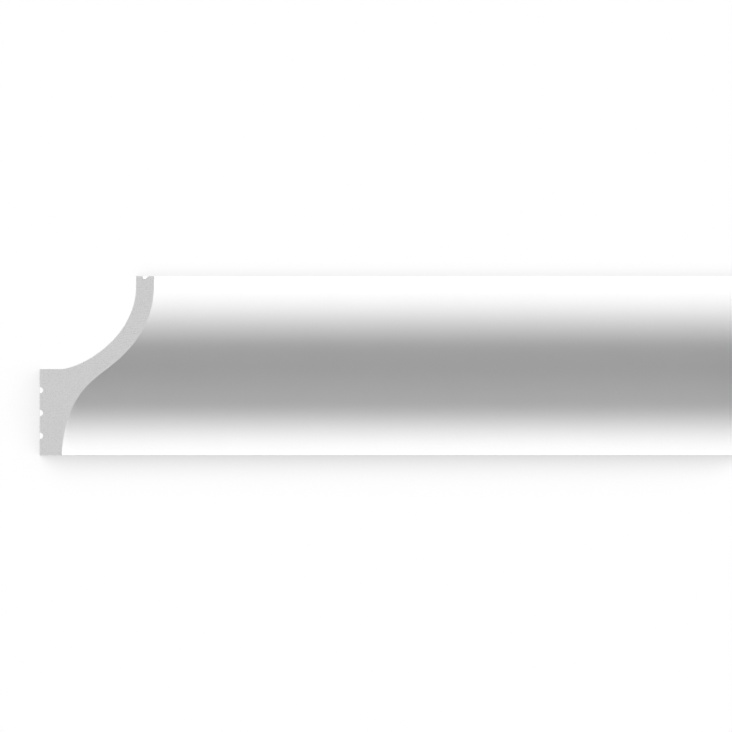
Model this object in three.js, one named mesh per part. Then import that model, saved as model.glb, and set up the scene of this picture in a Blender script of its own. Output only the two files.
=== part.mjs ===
// A length of crown moulding for the corner between a wall and a ceiling.
// Millimetres. X runs along the moulding, the wall is the plane Y = 0 with the
// room towards -Y, and Z is up. The origin is on the face that goes on the wall,
// at mid-length, midway between the two upper glue grooves.
import * as THREE from 'three';

// The length
const length = 430; // along the wall, from the tip of the mitre to the square end
const mitreAngle = 45; // degrees off square, for an inside corner between two walls

// The section, measured out from the wall and up from the underside
const drop = 110; // down the wall
const projection = 70; // out along the ceiling
const wallLand = 53; // height of the face on the wall
const ceilingLand = 11; // width of the face on the ceiling
const footThickness = 13.5; // at the underside

// The ogee, the S-shaped face towards the room: a scoop below and a bulge above
const lipHeight = 3; // upright lip at the foot
const footLean = 5; // degrees off upright where the scoop leaves the lip
const middleOut = 41; // where the scoop turns into the bulge, level with the top of the wall land
const middleSlope = 37; // degrees above level there
const noseUpright = 1; // upright stretch below the ceiling face
const footPull = 30.5; // a pull is how far a curve is drawn out along its direction at one end
const scoopPull = 16.7;
const bulgePull = 36;
const nosePull = 14;

// The hollow behind, which saves material and clears the corner of the room
const hollowUpright = 6; // upright stretch behind the ceiling land
const hollowFloor = 12.5; // level top of the wall land
const hollowUprightPull = 32;
const hollowFloorPull = 12.3;

// Half-round grooves in the wall land, which take the glue
const glueGrooveRadius = 1.9;
const glueGroovePitch = 14;
const lowestGlueGroove = 12; // its centre, above the underside
const glueGrooveMargin = 5; // least width of land above the top groove

// One lopsided groove in the ceiling land, steep on the wall's side
const ceilingGrooveWidth = 3.6;
const ceilingGrooveDepth = 1.75;
const ceilingGrooveSteepWidth = 0.4;
const ceilingGrooveFromNose = 3.4;

// How finely the round stretches are cut into facets
const curveFacets = 48;
const grooveFacets = 12;

const upright = 90; // degrees above level
const glueGrooveRange = wallLand - glueGrooveMargin - glueGrooveRadius - lowestGlueGroove;
const glueGrooveCount = Math.floor(glueGrooveRange / glueGroovePitch) + 1;
const glueGrooveHeights = Array.from(
  { length: glueGrooveCount },
  (_, i) => lowestGlueGroove + i * glueGroovePitch,
);
const originHeight = glueGrooveHeights.at(-1) - glueGroovePitch / 2;

// A point of the section, from its distance out from the wall and its height above the underside
function point(out, up) {
  return new THREE.Vector2(-out, up - originHeight);
}

// A stretch of the given length that climbs away from the wall at the given slope
function climb(stretch, degrees) {
  const slope = THREE.MathUtils.degToRad(degrees);
  return new THREE.Vector2(-stretch * Math.cos(slope), stretch * Math.sin(slope));
}

// The room face, from the lip up to the nose
function ogeePoints() {
  const foot = point(footThickness, lipHeight);
  const middle = point(middleOut, wallLand);
  const nose = point(projection, drop - noseUpright);
  const scoop = new THREE.CubicBezierCurve(
    foot,
    foot.clone().add(climb(footPull, upright - footLean)),
    middle.clone().sub(climb(scoopPull, middleSlope)),
    middle,
  );
  const bulge = new THREE.CubicBezierCurve(
    middle,
    middle.clone().add(climb(bulgePull, middleSlope)),
    nose.clone().sub(climb(nosePull, upright)),
    nose,
  );
  return [...scoop.getPoints(curveFacets), ...bulge.getPoints(curveFacets).slice(1)];
}

// The ceiling groove, from the nose towards the wall. The curve reaches half as deep as its middle handle.
function ceilingGroovePoints() {
  const roomEdge = projection - ceilingGrooveFromNose;
  const wallEdge = roomEdge - ceilingGrooveWidth;
  const groove = new THREE.QuadraticBezierCurve(
    point(roomEdge, drop),
    point(wallEdge + ceilingGrooveSteepWidth, drop - 2 * ceilingGrooveDepth),
    point(wallEdge, drop),
  );
  return groove.getPoints(grooveFacets);
}

// The back of the ogee, from the ceiling land down to the level top of the wall land
function hollowPoints() {
  const back = projection - ceilingLand;
  const hollow = new THREE.CubicBezierCurve(
    point(back, drop - hollowUpright),
    point(back, drop - hollowUpright - hollowUprightPull),
    point(hollowFloor + hollowFloorPull, wallLand),
    point(hollowFloor, wallLand),
  );
  return [point(back, drop), ...hollow.getPoints(curveFacets)];
}

// One glue groove, from its upper edge to its lower edge
function glueGroovePoints(height) {
  const centre = point(0, height);
  const groove = new THREE.EllipseCurve(
    centre.x,
    centre.y,
    glueGrooveRadius,
    glueGrooveRadius,
    Math.PI / 2,
    (3 * Math.PI) / 2,
  );
  return groove.getPoints(grooveFacets);
}

function section() {
  return new THREE.Shape([
    point(0, 0),
    point(footThickness, 0),
    ...ogeePoints(),
    point(projection, drop),
    ...ceilingGroovePoints(),
    ...hollowPoints(),
    point(0, wallLand),
    ...glueGrooveHeights.toReversed().flatMap(glueGroovePoints),
  ]);
}

// The section swept along the wall, with the end at -X slid back to the mitre's slope
function moulding() {
  const geometry = new THREE.ExtrudeGeometry(section(), { depth: length, bevelEnabled: false });
  const alongWall = new THREE.Vector3(1, 0, 0);
  const offWall = new THREE.Vector3(0, 1, 0);
  const up = new THREE.Vector3(0, 0, 1);
  geometry.applyMatrix4(new THREE.Matrix4().makeBasis(offWall, up, alongWall));
  geometry.translate(-length / 2, 0, 0);

  const mitreRun = Math.tan(THREE.MathUtils.degToRad(mitreAngle));
  const position = geometry.getAttribute('position');
  for (let i = 0; i < position.count; i += 1) {
    if (position.getX(i) < 0) {
      position.setX(i, -length / 2 - position.getY(i) * mitreRun);
    }
  }
  geometry.computeVertexNormals();

  const primedWhite = new THREE.MeshStandardMaterial({ color: 0xf5f5f3, roughness: 0.55, metalness: 0 });
  const mesh = new THREE.Mesh(geometry, primedWhite);
  mesh.name = 'crown_moulding';
  return mesh;
}

const crownMoulding = new THREE.Group();
crownMoulding.add(moulding());

export default crownMoulding;
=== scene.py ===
# A length of white crown moulding, seen square to the wall that it is made for.
# Metres, in the frame's own axes: X along the wall, -Y into the room, Z up.
import math

import bmesh
import bpy
from mathutils import Matrix, Vector


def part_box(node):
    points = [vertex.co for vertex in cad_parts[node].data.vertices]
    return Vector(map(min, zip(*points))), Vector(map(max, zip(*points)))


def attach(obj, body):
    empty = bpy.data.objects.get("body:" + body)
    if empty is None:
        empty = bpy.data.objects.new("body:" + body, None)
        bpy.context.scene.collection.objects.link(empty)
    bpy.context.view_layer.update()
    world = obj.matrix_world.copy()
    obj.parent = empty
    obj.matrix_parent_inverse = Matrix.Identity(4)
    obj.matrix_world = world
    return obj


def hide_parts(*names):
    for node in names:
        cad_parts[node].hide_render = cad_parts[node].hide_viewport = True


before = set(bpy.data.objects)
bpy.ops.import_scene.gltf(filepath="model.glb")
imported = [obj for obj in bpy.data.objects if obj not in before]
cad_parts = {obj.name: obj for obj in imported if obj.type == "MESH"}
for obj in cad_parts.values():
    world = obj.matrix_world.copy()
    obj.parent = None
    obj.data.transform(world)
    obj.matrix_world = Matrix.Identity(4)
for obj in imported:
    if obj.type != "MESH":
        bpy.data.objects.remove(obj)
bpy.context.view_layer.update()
scene = bpy.context.scene

mm = 0.001
near = 0.01 * mm  # two places closer than this are taken as one
nodeName = "crown_moulding"
cadLow, cadHigh = (Vector(corner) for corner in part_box(nodeName))
print("frame read, moulding", [round(side / mm, 1) for side in cadHigh - cadLow], "mm")


# The camera faces the wall squarely, with the section at the height and place that the photograph gives it
photo = {
    "width": 732,  # pixels, and as many high
    "wallEdge": 39.9,  # pixel column of the wall, at the tip of the mitre
    "sectionTop": 276.15,  # pixel row of the top of the section
    "sectionBottom": 455.4,  # pixel row of its underside
    "standOff": 1.5,  # metres from the wall; the view is parallel, so this changes no size
}


def makeCamera():
    pixelsPerMetre = (photo["sectionBottom"] - photo["sectionTop"]) / (cadHigh.z - cadLow.z)
    middle = photo["width"] / 2
    data = bpy.data.cameras.new("camera")
    data.type = "ORTHO"
    data.ortho_scale = photo["width"] / pixelsPerMetre
    camera = bpy.data.objects.new("camera", data)
    across = cadLow.x + (middle - photo["wallEdge"]) / pixelsPerMetre
    up = cadLow.z + (photo["sectionBottom"] - middle) / pixelsPerMetre
    camera.location = (across, -photo["standOff"], up)
    camera.rotation_euler = (math.pi / 2, 0, 0)
    scene.collection.objects.link(camera)
    scene.camera = camera


makeCamera()
print("camera set")


def linear(hexText):
    # sRGB hex to the linear colour that a shader takes, by the sRGB standard's own curve
    channels = [int(hexText[i:i + 2], 16) / 255 for i in (1, 3, 5)]
    return [c / 12.92 if c <= 0.04045 else ((c + 0.055) / 1.055) ** 2.4 for c in channels] + [1]


def addNode(tree, kind, settings=None, inputs=None):
    # A node with its settings; an input is a value, a socket, or a node whose first output feeds it
    node = tree.nodes.new("ShaderNode" + kind)
    for name, value in (settings or {}).items():
        setattr(node, name, value)
    for name, value in (inputs or {}).items():
        socket = node.inputs[name] if isinstance(name, int) else next(
            s for s in node.inputs if s.name == name and s.enabled)
        if isinstance(value, bpy.types.Node):
            value = next(s for s in value.outputs if s.enabled)
        if isinstance(value, bpy.types.NodeSocket):
            tree.links.new(value, socket)
        else:
            socket.default_value = value
    return node


def newMaterial(name):
    # An empty material, with the socket for the piece's own coordinates in metres
    material = bpy.data.materials.new(name)
    material.use_nodes = True
    tree = material.node_tree
    tree.nodes.clear()
    return material, tree, addNode(tree, "TexCoord").outputs["Object"]


# Primed polystyrene: a factory coat of acrylic primer, sprayed, gives an even matt white with a soft orange peel
primer = {
    "ior": 1.48,
    "white": "#F2F2F2",
    "thin": "#EFEFEF",  # where the coat lies thinner
    "roughness": (0.5, 0.58),
    "coatSpread": 30 * mm,  # from a thicker to a thinner place
    "peel": 1.4 * mm,  # from one bump of the orange peel to the next
    "peelDepth": 0.006 * mm,
    "dieLine": 1.6 * mm,  # lines that the extruder's die leaves, felt through the coat
    "dieRun": 500 * mm,  # how far a line runs before it changes
    "dieDepth": 0.006 * mm,
}


def primedPolystyrene():
    material, tree, place = newMaterial("primed polystyrene, sprayed matt")
    spread = addNode(tree, "TexNoise", inputs={"Vector": place, "Scale": 1 / primer["coatSpread"], "Detail": 3})
    peel = addNode(tree, "TexNoise", inputs={"Vector": place, "Scale": 1 / primer["peel"], "Detail": 1})
    drawn = addNode(tree, "Mapping", inputs={
        "Vector": place,
        "Scale": (1 / primer["dieRun"], 1 / primer["dieLine"], 1 / primer["dieLine"]),
    })
    lines = addNode(tree, "TexNoise", inputs={"Vector": drawn, "Scale": 1, "Detail": 3})
    colour = addNode(tree, "Mix", {"data_type": "RGBA"}, {
        "Factor": spread,
        "A": linear(primer["white"]),
        "B": linear(primer["thin"]),
    })
    dull = addNode(tree, "MapRange", inputs={
        "Value": peel,
        "To Min": primer["roughness"][0],
        "To Max": primer["roughness"][1],
    })
    dieRelief = addNode(tree, "Bump", inputs={"Height": lines, "Distance": primer["dieDepth"]})
    relief = addNode(tree, "Bump", inputs={
        "Height": peel,
        "Distance": primer["peelDepth"],
        "Normal": dieRelief,
    })
    shader = addNode(tree, "BsdfPrincipled", inputs={
        "Base Color": colour,
        "Roughness": dull,
        "Normal": relief,
        "IOR": primer["ior"],
    })
    addNode(tree, "OutputMaterial", inputs={"Surface": shader})
    return material


# Extruded polystyrene skin: closed and a little glossier and creamier than primer, streaked along by the die,
# with a mist of primer where the spray drifted round the edge
skin = {
    "ior": 1.59,
    "white": "#F1F0EE",
    "streak": "#E6E5E2",
    "roughness": (0.32, 0.48),
    "dieLine": 1.3 * mm,
    "dieRun": 160 * mm,
    "dieGrit": 0.6,  # how much the finer lines show beside the broad ones, from 0 to 1
    "dieDepth": 0.09 * mm,
    "cell": 1.2 * mm,  # foam cells felt through the skin; the real ones are about 0.3 mm, too fine to show
    "cellBlur": 0.7,  # how far neighbouring cells run into each other, from 0 to 1
    "cellDepth": 0.03 * mm,
    "mistReach": 3 * mm,
    "mistFade": (0.7, 1.5),  # shares of the reach between which the mist thins out
    "mistDrop": 0.8 * mm,  # from one drop of the mist to the next
}


def extrudedPolystyreneSkin():
    material, tree, place = newMaterial("bare polystyrene, extruded skin")
    drawn = addNode(tree, "Mapping", inputs={
        "Vector": place,
        "Scale": (1 / skin["dieRun"], 1 / skin["dieLine"], 1 / skin["dieLine"]),
    })
    lines = addNode(tree, "TexNoise", inputs={
        "Vector": drawn,
        "Scale": 1,
        "Detail": 3,
        "Roughness": skin["dieGrit"],
    })
    cells = addNode(tree, "TexVoronoi", {"feature": "SMOOTH_F1"}, {
        "Vector": place,
        "Scale": 1 / skin["cell"],
        "Smoothness": skin["cellBlur"],
    })
    bare = addNode(tree, "Mix", {"data_type": "RGBA"}, {
        "Factor": lines,
        "A": linear(skin["white"]),
        "B": linear(skin["streak"]),
    })
    gloss = addNode(tree, "MapRange", inputs={
        "Value": lines,
        "To Min": skin["roughness"][0],
        "To Max": skin["roughness"][1],
    })
    drops = addNode(tree, "TexNoise", inputs={"Vector": place, "Scale": 1 / skin["mistDrop"], "Detail": 1})
    fromPrimer = addNode(tree, "Attribute", {"attribute_name": "fromPrimer"}).outputs["Fac"]
    strewn = addNode(tree, "Math", {"operation": "MULTIPLY_ADD"}, {
        0: drops,
        1: skin["mistReach"],
        2: fromPrimer,
    })
    mist = addNode(tree, "MapRange", {"interpolation_type": "SMOOTHSTEP"}, {
        "Value": strewn,
        "From Min": skin["mistReach"] * skin["mistFade"][0],
        "From Max": skin["mistReach"] * skin["mistFade"][1],
        "To Min": 1,
        "To Max": 0,
    })
    colour = addNode(tree, "Mix", {"data_type": "RGBA"}, {"Factor": mist, "A": bare, "B": linear(primer["white"])})
    dull = addNode(tree, "Mix", {"data_type": "FLOAT"}, {"Factor": mist, "A": gloss, "B": primer["roughness"][1]})
    cellRelief = addNode(tree, "Bump", inputs={"Height": cells, "Distance": skin["cellDepth"]})
    relief = addNode(tree, "Bump", inputs={
        "Height": lines,
        "Distance": skin["dieDepth"],
        "Normal": cellRelief,
    })
    shader = addNode(tree, "BsdfPrincipled", inputs={
        "Base Color": colour,
        "Roughness": dull,
        "Normal": relief,
        "IOR": skin["ior"],
    })
    addNode(tree, "OutputMaterial", inputs={"Surface": shader})
    return material


# Sawn polystyrene foam: quite dull, with fine open cells and the faint arcs that a mitre saw's blade leaves; the
# cells' pits are painted darker, as painted shade
sawn = {
    "ior": 1.59,
    "white": "#EFEFEF",
    # painted shade: the darker tone that the cells' pits take
    "pitShade": "#DCDCDB",
    "roughness": (0.8, 0.92),
    "cell": 0.9 * mm,  # the real cells are about 0.2 mm, drawn coarser so that they show
    "cellBlur": 0.25,
    "cellDepth": 0.05 * mm,
    "pitEdge": (0.45, 0.1),  # from a cell's middle, in cells: where its pit starts, and where it is deepest
    "tooth": 1.4 * mm,  # from one arc to the next
    "toothDepth": 0.02 * mm,
    "waver": 7 * mm,  # the length over which the arcs waver
    "blade": 127 * mm,  # radius of a ten inch blade
    "bladeFrom": (0, -0.5, -0.866),  # direction of its axle from the section
}


def sawnPolystyrene(name, middleOfEnd, foamed):
    # foamed is 1 for the foam, and 0 for the dense skin round it, which has no pits and shows only the arcs
    material, tree, place = newMaterial(name)
    axle = middleOfEnd + Vector(sawn["bladeFrom"]) * sawn["blade"]
    fromAxle = addNode(tree, "VectorMath", {"operation": "DISTANCE"}, {0: place, 1: axle})
    turns = addNode(tree, "Math", {"operation": "MULTIPLY"}, {
        0: fromAxle,
        1: 2 * math.pi / sawn["tooth"],
    })
    wander = addNode(tree, "TexNoise", inputs={"Vector": place, "Scale": 1 / sawn["waver"], "Detail": 2})
    phase = addNode(tree, "Math", {"operation": "MULTIPLY_ADD"}, {0: wander, 1: 2 * math.pi, 2: turns})
    arcs = addNode(tree, "Math", {"operation": "SINE"}, {0: phase})
    arcRelief = addNode(tree, "Bump", inputs={"Height": arcs, "Distance": sawn["toothDepth"]})
    cells = addNode(tree, "TexVoronoi", {"feature": "SMOOTH_F1"}, {
        "Vector": place,
        "Scale": 1 / sawn["cell"],
        "Smoothness": sawn["cellBlur"],
    })
    pitsAndShade = addNode(tree, "MapRange", {"interpolation_type": "SMOOTHSTEP"}, {
        "Value": cells,
        "From Min": sawn["pitEdge"][0],
        "From Max": sawn["pitEdge"][1],
        "To Max": foamed,
    })
    # Painted shade: the colour darkens in each cell's pit, where shade would fall; the pits' relief and roughness
    # are real
    colour = addNode(tree, "Mix", {"data_type": "RGBA"}, {
        "Factor": pitsAndShade,
        "A": linear(sawn["white"]),
        "B": linear(sawn["pitShade"]),
    })
    dull = addNode(tree, "MapRange", inputs={
        "Value": pitsAndShade,
        "To Min": sawn["roughness"][0],
        "To Max": sawn["roughness"][1],
    })
    relief = addNode(tree, "Bump", {"invert": True}, {
        "Height": pitsAndShade,
        "Distance": sawn["cellDepth"],
        "Normal": arcRelief,
    })
    shader = addNode(tree, "BsdfPrincipled", inputs={
        "Base Color": colour,
        "Roughness": dull,
        "Normal": relief,
        "IOR": sawn["ior"],
    })
    addNode(tree, "OutputMaterial", inputs={"Surface": shader})
    return material


# The moulding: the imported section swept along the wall, with softened arrises and two sawn ends
moulding = {
    "arrisTurn": 40,  # degrees of turn that make an arris; a curve turns less at each point
    "arrisRadius": 0.15 * mm,
    "arrisFacets": 5,
    "arrisShare": 0.45,  # the most of a neighbouring stretch that an arris takes
    "creaseTurn": 4.5,  # degrees of turn in a long face that stays crisp, as above the lip
    "hold": 0.25 * mm,  # strip beside an arris or crease that keeps the face flat up to it
    "sawnEase": 0.03 * mm,  # softening round both sawn ends
    "skinDepth": 0.5 * mm,  # dense skin round the foam, seen at a sawn end
    "stations": 36,  # steps along the length
    "merge": 0.0005 * mm,  # points closer than this become one
}


def packedSection():
    # The section's points in order, with x at 0. Its outline is the edges that only one face of the square end has.
    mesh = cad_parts[nodeName].data
    uses = {}
    for face in mesh.polygons:
        corners = [mesh.vertices[i].co for i in face.vertices]
        if min(corner.x for corner in corners) < cadHigh.x - near:
            continue
        places = [(round(corner.y, 7), round(corner.z, 7)) for corner in corners]  # rounded, so that they match
        for pair in zip(places, places[1:] + places[:1]):
            edge = frozenset(pair)
            uses[edge] = uses.get(edge, 0) + 1
    neighbours = {}
    for edge, count in uses.items():
        if count == 1:
            first, second = edge
            neighbours.setdefault(first, []).append(second)
            neighbours.setdefault(second, []).append(first)
    noseTop = min(neighbours, key=lambda p: (round(p[0], 5), -p[1]))  # furthest into the room, and highest there
    path = [noseTop, min(neighbours[noseTop], key=lambda p: p[1])]  # down the room face first
    while path[-1] != noseTop:
        path.append(next(p for p in neighbours[path[-1]] if p != path[-2]))
    return [Vector((0, *p)) for p in path[:-1]]


def inward(direction):
    # The path keeps the solid on its left
    return Vector((0, -direction.z, direction.y))


def softenedSection(points):
    # For each point: its place, its inward normal, its place under the skin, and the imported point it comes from
    ring = []
    hold = moulding["hold"]
    room = 2 * hold  # what a stretch needs past a hold, or it gets none
    depth = moulding["skinDepth"]
    for i, here in enumerate(points):
        before = here - points[i - 1]
        after = points[(i + 1) % len(points)] - here
        shorter = min(before.length, after.length)
        into = before.normalized()
        out = after.normalized()
        turn = math.atan2(into.cross(out).x, into.dot(out))
        halfway = (inward(into) + inward(out)).normalized()
        underSkin = here + halfway * depth / math.cos(turn / 2)
        slack = math.tan(abs(turn) / 2)
        reach = 0
        if abs(turn) > math.radians(moulding["arrisTurn"]):
            reach = min(moulding["arrisRadius"] * slack, moulding["arrisShare"] * shorter)
        crisp = abs(turn) > math.radians(moulding["creaseTurn"]) and shorter > 2 * room
        held = reach + hold
        heldUnder = max(held, math.tan(turn / 2) * depth)
        if (reach or crisp) and before.length > held + room:
            under = here - into * heldUnder + inward(into) * depth
            ring.append((here - into * held, inward(into), under, i))
        if reach:
            radius = reach / slack
            centre = here - into * reach + inward(into) * radius
            for k in range(moulding["arrisFacets"] + 1):
                normal = Matrix.Rotation(turn * k / moulding["arrisFacets"], 3, "X") @ inward(into)
                ring.append((centre - normal * radius, normal, underSkin, i))
        else:
            ring.append((here, halfway, underSkin, i))
        if (reach or crisp) and after.length > held + room:
            under = here + out * heldUnder + inward(out) * depth
            ring.append((here + out * held, inward(out), under, i))
    return ring


def mitreRun():
    # How far the mitre sets back for each metre out from the wall
    corners = [vertex.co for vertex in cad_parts[nodeName].data.vertices]
    atNose = min(corner.x for corner in corners if corner.y < cadLow.y + near)
    atWall = min(corner.x for corner in corners if corner.y > cadHigh.y - near)
    return (atNose - atWall) / (cadHigh.y - cadLow.y)


def distancesFromPrimer(ring, toe):
    # Path length from the primed faces, which go from the top of the nose down to the toe at the wall
    along = [0]
    for here, following in zip(ring, ring[1:] + ring[:1]):
        along.append(along[-1] + (following[0] - here[0]).length)
    lastPrimed = max(k for k in range(len(ring)) if ring[k][3] <= toe)
    return [
        0 if k <= lastPrimed else min(along[k] - along[lastPrimed], along[-1] - along[k])
        for k in range(len(ring))
    ]


def mouldingFinishes(mitreMiddle, squareMiddle):
    # The piece's materials, in the order of its material slots
    return {
        "primed": primedPolystyrene(),
        "bare": extrudedPolystyreneSkin(),
        "skinAtMitre": sawnPolystyrene("dense polystyrene skin, sawn at the mitre", mitreMiddle, 0),
        "skinAtSquare": sawnPolystyrene("dense polystyrene skin, sawn square", squareMiddle, 0),
        "foamAtMitre": sawnPolystyrene("polystyrene foam, sawn at the mitre", mitreMiddle, 1),
        "foamAtSquare": sawnPolystyrene("polystyrene foam, sawn square", squareMiddle, 1),
    }


def buildMoulding(section):
    toe = max(range(len(section)), key=lambda i: (round(section[i].y, 5), -section[i].z))  # lowest at the wall
    ring = softenedSection(section)
    count = len(ring)
    run = mitreRun()
    ease = moulding["sawnEase"]
    hold = moulding["hold"]

    def mitred(place):
        # Where the mitre cuts the line along the moulding through this place
        return cadLow.x + (cadHigh.y - place.y) * run

    middle = Vector((0, (cadLow.y + cadHigh.y) / 2, (cadLow.z + cadHigh.z) / 2))
    finishes = mouldingFinishes(
        middle + Vector((mitred(middle), 0, 0)),
        middle + Vector((cadHigh.x, 0, 0)),
    )
    slots = list(finishes)

    mesh = bmesh.new()
    primerLayer = mesh.verts.layers.float.new("fromPrimer")
    fromPrimer = distancesFromPrimer(ring, toe)

    def addRing(places):
        vertices = [mesh.verts.new(place) for place in places]
        for vertex, distance in zip(vertices, fromPrimer):
            vertex[primerLayer] = distance
        return vertices

    def join(first, second, faceFinishes, smooth):
        for k in range(count):
            n = (k + 1) % count
            face = mesh.faces.new((first[k], first[n], second[n], second[k]))
            face.material_index = slots.index(faceFinishes[k])
            face.smooth = smooth

    # Primed down to the toe, and on the last strip, from the ceiling groove to the nose
    sides = [
        "primed" if max(ring[k][3], ring[(k + 1) % count][3]) <= toe or k == count - 1 else "bare"
        for k in range(count)
    ]
    shares = [i / moulding["stations"] for i in range(1, moulding["stations"])]
    stations = [(0, ease), (0, ease + hold)] + [(share, 0) for share in shares]
    stations += [(1, -ease - hold), (1, -ease)]
    rings = []
    for share, shift in stations:
        rings.append(addRing([
            (mitred(place) + (cadHigh.x - mitred(place)) * share + shift, place.y, place.z)
            for place, *_ in ring
        ]))
    for first, second in zip(rings, rings[1:]):
        join(first, second, sides, True)

    # Each end: the softened edge, the dense skin, and the foam
    edge = [place + normal * ease for place, normal, *_ in ring]
    core = [underSkin for _, _, underSkin, _ in ring]
    for where, outer in (("AtMitre", rings[0]), ("AtSquare", rings[-1])):
        atMitre = where == "AtMitre"
        loops = [outer]
        for outline in (edge, core):
            loops.append(addRing([
                (mitred(place) if atMitre else cadHigh.x, place.y, place.z) for place in outline
            ]))
        for first, second, smooth in ((loops[0], loops[1], True), (loops[1], loops[2], False)):
            if atMitre:
                first, second = second, first
            join(first, second, ["skin" + where] * count, smooth)
        foam = mesh.faces.new(loops[2][::-1] if atMitre else loops[2])
        foam.material_index = slots.index("foam" + where)
    bmesh.ops.remove_doubles(mesh, verts=mesh.verts, dist=moulding["merge"])
    endFaces = [face for face in mesh.faces if len(face.verts) > 4]
    bmesh.ops.triangulate(mesh, faces=endFaces)
    bmesh.ops.recalc_face_normals(mesh, faces=mesh.faces)

    data = bpy.data.meshes.new("moulding")
    mesh.to_mesh(data)
    mesh.free()
    for material in finishes.values():
        data.materials.append(material)
    piece = bpy.data.objects.new("moulding_length", data)
    scene.collection.objects.link(piece)
    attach(piece, "root")
    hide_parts(nodeName)
    return piece


section = packedSection()
piece = buildMoulding(section)
print("moulding built,", len(piece.data.polygons), "faces")


# The studio: soft lights, a pale floor under the moulding, and clear screens behind it with painted shade: each
# darkens what lies behind it by the ambient occlusion of the moulding there
studio = {
    "floorSize": 10,
    "floorGap": 0.1 * mm,  # under the moulding, so that the two faces don't coincide
    "floor": "#C4C4C3",  # a pale grey paint, so that the white moulding stands out from it
    "white": "#FFFFFF",  # what the camera sees past everything
    "horizon": math.sin(math.radians(-0.5)),  # a view that looks down further than this sees ground, not white
    "haze": 0.03,  # light from all round
}
lampPlace = {
    # Before the square end, so that the bulge shades the scoop from the mitre to that end
    "out": 0.365,  # metres from the middle of the section into the room
    "beside": 10 * mm,  # past the square end
}
lamps = {
    # rise is degrees above level from the middle of the section, strength is watts on a square metre there,
    # and spread is how many degrees wide the lamp looks from there
    "key": {"rise": 48.9, "strength": 3.3, "spread": 11},
    "top": {"rise": 64, "strength": 1.1, "spread": 15.1},
}
suns = {
    # across is degrees to the right of straight on, up is degrees above level, and the rest is as for the lamps
    "low": {"across": 10, "up": -15, "strength": 1.35, "spread": 25},
    "left": {"across": -93, "up": 0, "strength": 1.96, "spread": 6},
    "right": {"across": 93, "up": 0, "strength": 2.2, "spread": 6},
    "back": {"across": -146, "up": 20, "strength": 2.4, "spread": 25},
}
screens = {
    # shade is how much light is lost for each share of the room that the moulding closes off, beyond spare;
    # reach is how far off it is felt, lean is degrees to the right that the open side faces,
    # gap is from the moulding, margin is past it, and fade is where the shade dies away upward,
    # from below to above the top of the face on the wall
    "wall": {
        "shade": 0.72,
        "spare": 0.1,
        "reach": 70 * mm,
        "lean": 23,
        "gap": 0.5 * mm,
        "margin": 26 * mm,
        "fade": (-4 * mm, 8 * mm),
        "samples": 24,
    },
    "ceiling": {
        "shade": 0.19,
        "spare": 0,
        "reach": 9 * mm,
        "lean": 0,
        "gap": 0.5 * mm,
        "margin": 20 * mm,
        "samples": 24,
    },
}


def stagePiece(name, corners, faces, material):
    data = bpy.data.meshes.new(name)
    data.from_pydata(corners, [], faces)
    data.materials.append(material)
    thing = bpy.data.objects.new(name, data)
    scene.collection.objects.link(thing)
    # Seen by the camera alone, so it neither shades the moulding nor lights it
    for kind in ("diffuse", "glossy", "transmission", "volume_scatter", "shadow"):
        setattr(thing, "visible_" + kind, False)


def buildFloor():
    material, tree, _ = newMaterial("pale floor paint")
    shader = addNode(tree, "BsdfDiffuse", inputs={"Color": linear(studio["floor"])})
    addNode(tree, "OutputMaterial", inputs={"Surface": shader})
    half = studio["floorSize"] / 2
    height = cadLow.z - studio["floorGap"]
    corners = [(-half, -half, height), (half, -half, height), (half, half, height), (-half, half, height)]
    stagePiece("floor", corners, [(0, 1, 2, 3)], material)


def buildScreen(name, sheets, fade=None):
    # Each sheet stands upright, from its left to its right at the depth y, and from low to high.
    # fade is the two heights between which the shade dies away.
    values = screens[name]
    material, tree, place = newMaterial("painted shade screen, " + name)
    lean = math.radians(values["lean"])
    openWay = addNode(tree, "CombineXYZ", inputs={"X": math.sin(lean), "Y": -math.cos(lean)})
    opened = addNode(tree, "AmbientOcclusion", {"samples": values["samples"]}, {
        "Distance": values["reach"],
        "Normal": openWay,
    }).outputs["AO"]
    # Painted shade: the see-through sheet is tinted darker where the moulding closes off the room, in place of its
    # shadow on a wall
    passed = addNode(tree, "MapRange", inputs={
        "Value": opened,
        "From Max": 1 - values["spare"],
        "To Min": 1 - values["shade"] * (1 - values["spare"]),
    })
    if fade:
        height = addNode(tree, "SeparateXYZ", inputs={"Vector": place}).outputs["Z"]
        passed = addNode(tree, "MapRange", {"interpolation_type": "SMOOTHSTEP"}, {
            "Value": height,
            "From Min": fade[0],
            "From Max": fade[1],
            "To Min": passed,
        })
    shader = addNode(tree, "BsdfTransparent", inputs={"Color": passed})
    addNode(tree, "OutputMaterial", inputs={"Surface": shader})
    corners = []
    for left, right, y, low, high in sheets:
        corners += [(left, y, low), (right, y, low), (right, y, high), (left, y, high)]
    faces = [tuple(range(i, i + 4)) for i in range(0, len(corners), 4)]
    stagePiece("screen_" + name, corners, faces, material)


def buildScreens(section):
    # A screen beside and below the face on the wall, and one above the face on the ceiling
    wall, ceiling = screens["wall"], screens["ceiling"]
    landTop = max(place.z for place in section if place.y > cadHigh.y - near)
    rear = max(place.y for place in section if place.z > cadHigh.z - near)
    left = cadLow.x - wall["margin"]
    right = cadHigh.x + wall["margin"]
    behindWall = cadHigh.y + wall["gap"]
    behindCeiling = rear + ceiling["gap"]
    buildScreen("wall", [
        (left, cadLow.x, behindWall, cadLow.z, cadHigh.z),
        (left, right, behindWall, cadLow.z - wall["margin"], cadLow.z),
    ], [landTop + step for step in wall["fade"]])
    buildScreen("ceiling", [
        (left, right, behindCeiling, cadHigh.z, cadHigh.z + ceiling["margin"]),
    ])


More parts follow.
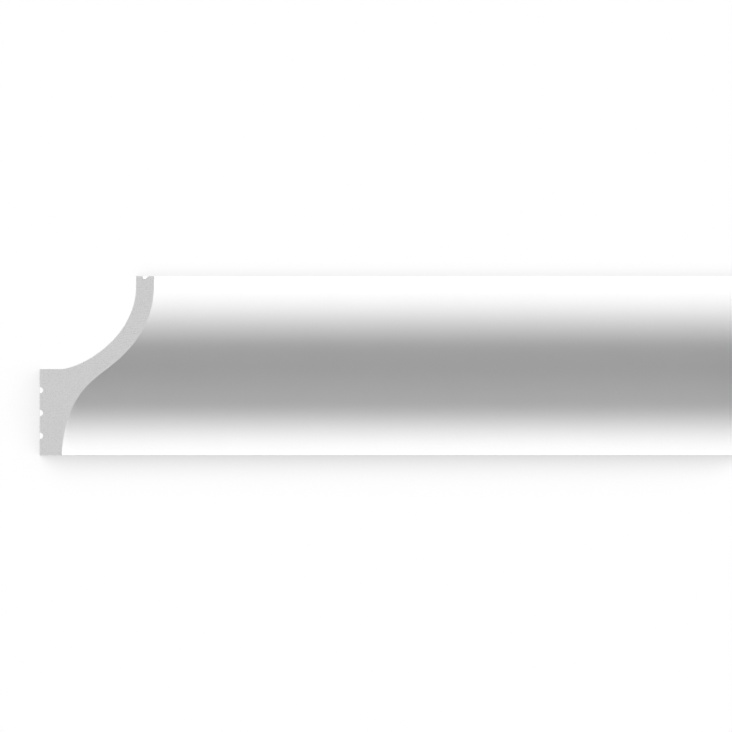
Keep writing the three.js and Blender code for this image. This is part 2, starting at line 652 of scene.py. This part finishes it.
def addLamp(name):
    # A round lamp that lights the moulding alike along its length: what the distance takes, the falloff gives back.
    # Returns how bright it makes a white floor.
    values = lamps[name]
    rise = math.radians(values["rise"])
    reach = lampPlace["out"] / math.cos(rise)
    data = bpy.data.lights.new(name, "POINT")
    data.energy = 4 * math.pi * values["strength"] / reach
    data.shadow_soft_size = reach * math.tan(math.radians(values["spread"]) / 2)
    data.use_nodes = True
    tree = data.node_tree
    tree.nodes.clear()
    falloff = addNode(tree, "LightFalloff", inputs={"Strength": 1})
    given = addNode(tree, "Math", {"operation": "MULTIPLY"}, {
        0: falloff.outputs["Constant"],
        1: falloff.outputs["Linear"],
    })
    shader = addNode(tree, "Emission", inputs={"Strength": given})
    addNode(tree, "OutputLight", inputs={"Surface": shader})
    lamp = bpy.data.objects.new(name, data)
    lamp.location = (
        cadHigh.x + lampPlace["beside"],
        (cadLow.y + cadHigh.y) / 2 - lampPlace["out"],
        (cadLow.z + cadHigh.z) / 2 + lampPlace["out"] * math.tan(rise),
    )
    lamp.visible_camera = False
    scene.collection.objects.link(lamp)
    return values["strength"] / reach * (lamp.location.z - cadLow.z) / math.pi


def addSun(name):
    # Returns how bright it makes a white floor
    values = suns[name]
    across = math.radians(values["across"])
    up = math.radians(values["up"])
    toLight = Vector((math.cos(up) * math.sin(across), -math.cos(up) * math.cos(across), math.sin(up)))
    data = bpy.data.lights.new(name, "SUN")
    data.energy = values["strength"]
    data.angle = math.radians(values["spread"])
    lamp = bpy.data.objects.new(name, data)
    lamp.rotation_euler = toLight.to_track_quat("Z", "Y").to_euler()
    scene.collection.objects.link(lamp)
    if up < 0:
        return 0
    graze = data.angle / (3 * math.pi)  # what the upper half of a level sun gives
    return max(toLight.z, graze) * values["strength"] / math.pi


def buildWorld(onFloor):
    # White above the horizon and the lit floor's own tone below it for the camera, and a haze for everything else
    white = linear(studio["white"])
    ground = [onFloor * channel for channel in linear(studio["floor"])]
    world = bpy.data.worlds.new("studio")
    world.use_nodes = True
    tree = world.node_tree
    tree.nodes.clear()
    way = addNode(tree, "TexCoord").outputs["Generated"]
    rise = addNode(tree, "SeparateXYZ", inputs={"Vector": way}).outputs["Z"]
    level = addNode(tree, "Math", {"operation": "GREATER_THAN"}, {0: rise, 1: studio["horizon"]})
    tone = addNode(tree, "Mix", {"data_type": "RGBA"}, {"Factor": level, "A": ground, "B": white})
    seen = addNode(tree, "LightPath").outputs["Is Camera Ray"]
    haze = addNode(tree, "Background", inputs={"Color": white, "Strength": studio["haze"]})
    past = addNode(tree, "Background", inputs={"Color": tone})
    mixed = addNode(tree, "MixShader", inputs={0: seen, 1: haze, 2: past})
    addNode(tree, "OutputWorld", inputs={"Surface": mixed})
    scene.world = world


buildFloor()
buildScreens(section)
onFloor = studio["haze"] + sum(addLamp(name) for name in lamps) + sum(addSun(name) for name in suns)
buildWorld(onFloor)
scene.view_settings.view_transform = "Standard"
print("studio lit")
